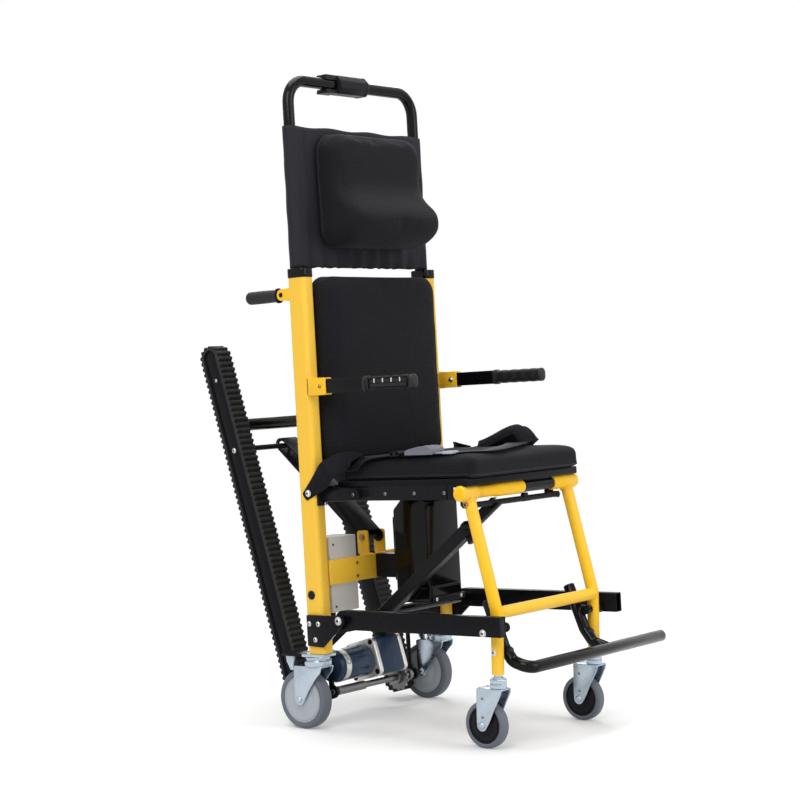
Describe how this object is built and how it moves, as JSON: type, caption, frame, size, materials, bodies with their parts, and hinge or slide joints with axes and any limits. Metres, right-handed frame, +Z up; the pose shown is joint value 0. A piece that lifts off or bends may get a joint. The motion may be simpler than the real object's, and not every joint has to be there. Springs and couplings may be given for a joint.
{
  "type": "tracked stair climbing wheelchair",
  "caption": "Folding stair climbing wheelchair with rear crawler tracks, fold-up arms, swing-up footrest, telescopic push handle and casters.",
  "frame": {"origin": "centre of the bounding box, on the floor under the casters", "axes": "+Z up, -Y forward as the sitter faces, +X to the sitter's left"},
  "size_m": [0.5868, 0.859, 1.3892],
  "materials": {
    "yellow": "glossy powder coat",
    "black_paint": "semi-gloss powder coat",
    "black_plastic": "fine grain",
    "fabric": "black knitted cover and webbing",
    "rubber": "matt",
    "grey_tyre": "grey rubber",
    "zinc": "bright zinc plate",
    "blue": "dark blue paint",
    "beige": "smooth",
    "grey_plastic": "smooth"
  },
  "bodies": {
    "chassis": {"post_right": "yellow", "post_left": "yellow", "post_cap_right": "black_plastic", "post_cap_left": "black_plastic", "cross_plate": "yellow", "controller_box": "beige", "battery_case": "black_plastic", "battery_dock": "black_paint", "hinge_plate_right": "black_paint", "hinge_plate_left": "black_paint", "axle_beam": "black_paint", "motor": "blue", "gearbox": "blue", "base_axle": "black_paint", "backrest_cushion": "fabric", "arm_bracket_right": "yellow", "arm_bracket_left": "yellow", "seat_bracket_right": "black_paint", "seat_bracket_left": "black_paint", "rear_fork_right": "zinc", "rear_fork_left": "zinc"},
    "handle": {"push_handle": "black_paint", "control_box": "black_plastic", "head_panel": "fabric", "headrest_cushion": "fabric"},
    "rocker": {"drive_rocker": "grey_plastic"},
    "arm_right": {"arm_right": "black_paint", "arm_grip_right": "rubber"},
    "arm_left": {"arm_left": "black_paint", "arm_grip_left": "rubber"},
    "rear_grip_right": {"rear_grip_right": "black_plastic"},
    "rear_grip_left": {"rear_grip_left": "black_plastic"},
    "seat": {"seat_frame": "black_paint", "seat_cushion": "fabric", "seat_belt": "fabric", "belt_buckle": "grey_plastic"},
    "front_frame": {"front_frame": "yellow"},
    "base": {"base_rail_right": "black_paint", "base_rail_left": "black_paint"},
    "brace": {"brace": "black_paint"},
    "brace_knob": {"brace_knob": "black_plastic"},
    "footrest": {"footrest": "black_paint"},
    "tracks": {"track_frame_right": "black_paint", "track_frame_left": "black_paint", "track_belt_right": "rubber", "track_belt_left": "rubber", "track_cross_tube": "black_paint", "track_rod": "black_paint"},
    "strut": {"track_strut": "black_paint"},
    "drive_shaft": {"drive_shaft": "zinc"},
    "rear_wheel_right": {"rear_right_hub": "grey_plastic", "rear_right_tyre": "grey_tyre"},
    "front_caster_right": {"front_fork_right": "zinc"},
    "front_wheel_right": {"front_right_hub": "black_plastic", "front_right_tyre": "grey_tyre"},
    "rear_wheel_left": {"rear_left_hub": "grey_plastic", "rear_left_tyre": "grey_tyre"},
    "front_caster_left": {"front_fork_left": "zinc"},
    "front_wheel_left": {"front_left_hub": "black_plastic", "front_left_tyre": "grey_tyre"}
  },
  "joints": [
    {"name": "handle_slide", "type": "slide", "parent": "chassis", "child": "handle", "axis": [0, 0.0384, 0.9993], "range_m": [0, 0.12]},
    {"name": "drive_rocker_tilt", "type": "hinge", "parent": "handle", "child": "rocker", "pos_m": [-0.0671, 0.14844, 1.36788], "axis": [1, 0, 0], "range_deg": [-10, 10], "stiffness_Nm_per_rad": 0.3},
    {"name": "arm_flip_right", "type": "hinge", "parent": "chassis", "child": "arm_right", "pos_m": [-0.2786, 0.03463, 0.72377], "axis": [-1, 0, 0], "range_deg": [0, 90]},
    {"name": "arm_flip_left", "type": "hinge", "parent": "chassis", "child": "arm_left", "pos_m": [0.1654, 0.03463, 0.72377], "axis": [-1, 0, 0], "range_deg": [0, 90]},
    {"name": "rear_grip_flip_right", "type": "hinge", "parent": "chassis", "child": "rear_grip_right", "pos_m": [-0.2636, 0.14711, 0.9166], "axis": [1, 0, 0], "range_deg": [0, 90]},
    {"name": "rear_grip_flip_left", "type": "hinge", "parent": "chassis", "child": "rear_grip_left", "pos_m": [0.1504, 0.14711, 0.9166], "axis": [1, 0, 0], "range_deg": [0, 90]},
    {"name": "seat_fold", "type": "hinge", "parent": "chassis", "child": "seat", "pos_m": [-0.0566, -0.03104, 0.49913], "axis": [-1, 0, 0], "range_deg": [0, 70], "deforming": ["seat_belt"]},
    {"name": "leg_fold", "type": "hinge", "parent": "seat", "child": "front_frame", "pos_m": [-0.0566, -0.29692, 0.50734], "axis": [-1, 0, 0], "range_deg": [-60, 0]},
    {"name": "base_fold", "type": "hinge", "parent": "chassis", "child": "base", "pos_m": [-0.0566, 0.00294, 0.23763], "axis": [-1, 0, 0], "range_deg": [0, 50]},
    {"name": "brace_fold", "type": "hinge", "parent": "chassis", "child": "brace", "pos_m": [-0.1316, 0.00294, 0.23763], "axis": [-1, 0, 0], "range_deg": [0, 36]},
    {"name": "brace_knob_pull", "type": "slide", "parent": "brace", "child": "brace_knob", "axis": [0, -0.6355, -0.7721], "range_m": [0, 0.008], "stiffness_N_per_m": 400},
    {"name": "footrest_flip", "type": "hinge", "parent": "front_frame", "child": "footrest", "pos_m": [-0.0566, -0.36125, 0.23961], "axis": [-1, 0, 0], "range_deg": [0, 100]},
    {"name": "track_fold", "type": "hinge", "parent": "chassis", "child": "tracks", "pos_m": [-0.0566, 0.10445, 0.06661], "axis": [1, 0, 0], "range_deg": [0, 13]},
    {"name": "strut_fold", "type": "hinge", "parent": "chassis", "child": "strut", "pos_m": [-0.0566, 0.10182, 0.38894], "axis": [1, 0, 0], "range_deg": [0, 26]},
    {"name": "drive_shaft_spin", "type": "hinge", "parent": "chassis", "child": "drive_shaft", "pos_m": [-0.0566, 0.10445, 0.06661], "axis": [1, 0, 0], "continuous": true},
    {"name": "rear_wheel_spin_right", "type": "hinge", "parent": "chassis", "child": "rear_wheel_right", "pos_m": [-0.2636, 0.11931, 0.0625], "axis": [1, 0, 0], "continuous": true},
    {"name": "rear_wheel_spin_left", "type": "hinge", "parent": "chassis", "child": "rear_wheel_left", "pos_m": [0.1504, 0.11931, 0.0625], "axis": [1, 0, 0], "continuous": true},
    {"name": "front_swivel_right", "type": "hinge", "parent": "front_frame", "child": "front_caster_right", "pos_m": [-0.2276, -0.36094, 0], "axis": [0, 0, 1], "continuous": true},
    {"name": "front_swivel_left", "type": "hinge", "parent": "front_frame", "child": "front_caster_left", "pos_m": [0.1144, -0.36094, 0], "axis": [0, 0, 1], "continuous": true},
    {"name": "front_wheel_spin_right", "type": "hinge", "parent": "front_caster_right", "child": "front_wheel_right", "pos_m": [-0.2276, -0.33094, 0.0475], "axis": [1, 0, 0], "continuous": true},
    {"name": "front_wheel_spin_left", "type": "hinge", "parent": "front_caster_left", "child": "front_wheel_left", "pos_m": [0.1144, -0.33094, 0.0475], "axis": [1, 0, 0], "continuous": true}
  ],
  "couplings": [
    {"joint": "leg_fold", "follows": "seat_fold", "ratio": -0.83},
    {"joint": "base_fold", "follows": "seat_fold", "ratio": 0.698},
    {"joint": "brace_fold", "follows": "seat_fold", "ratio": 0.4985},
    {"joint": "strut_fold", "follows": "track_fold", "ratio": 1.848}
  ]
}
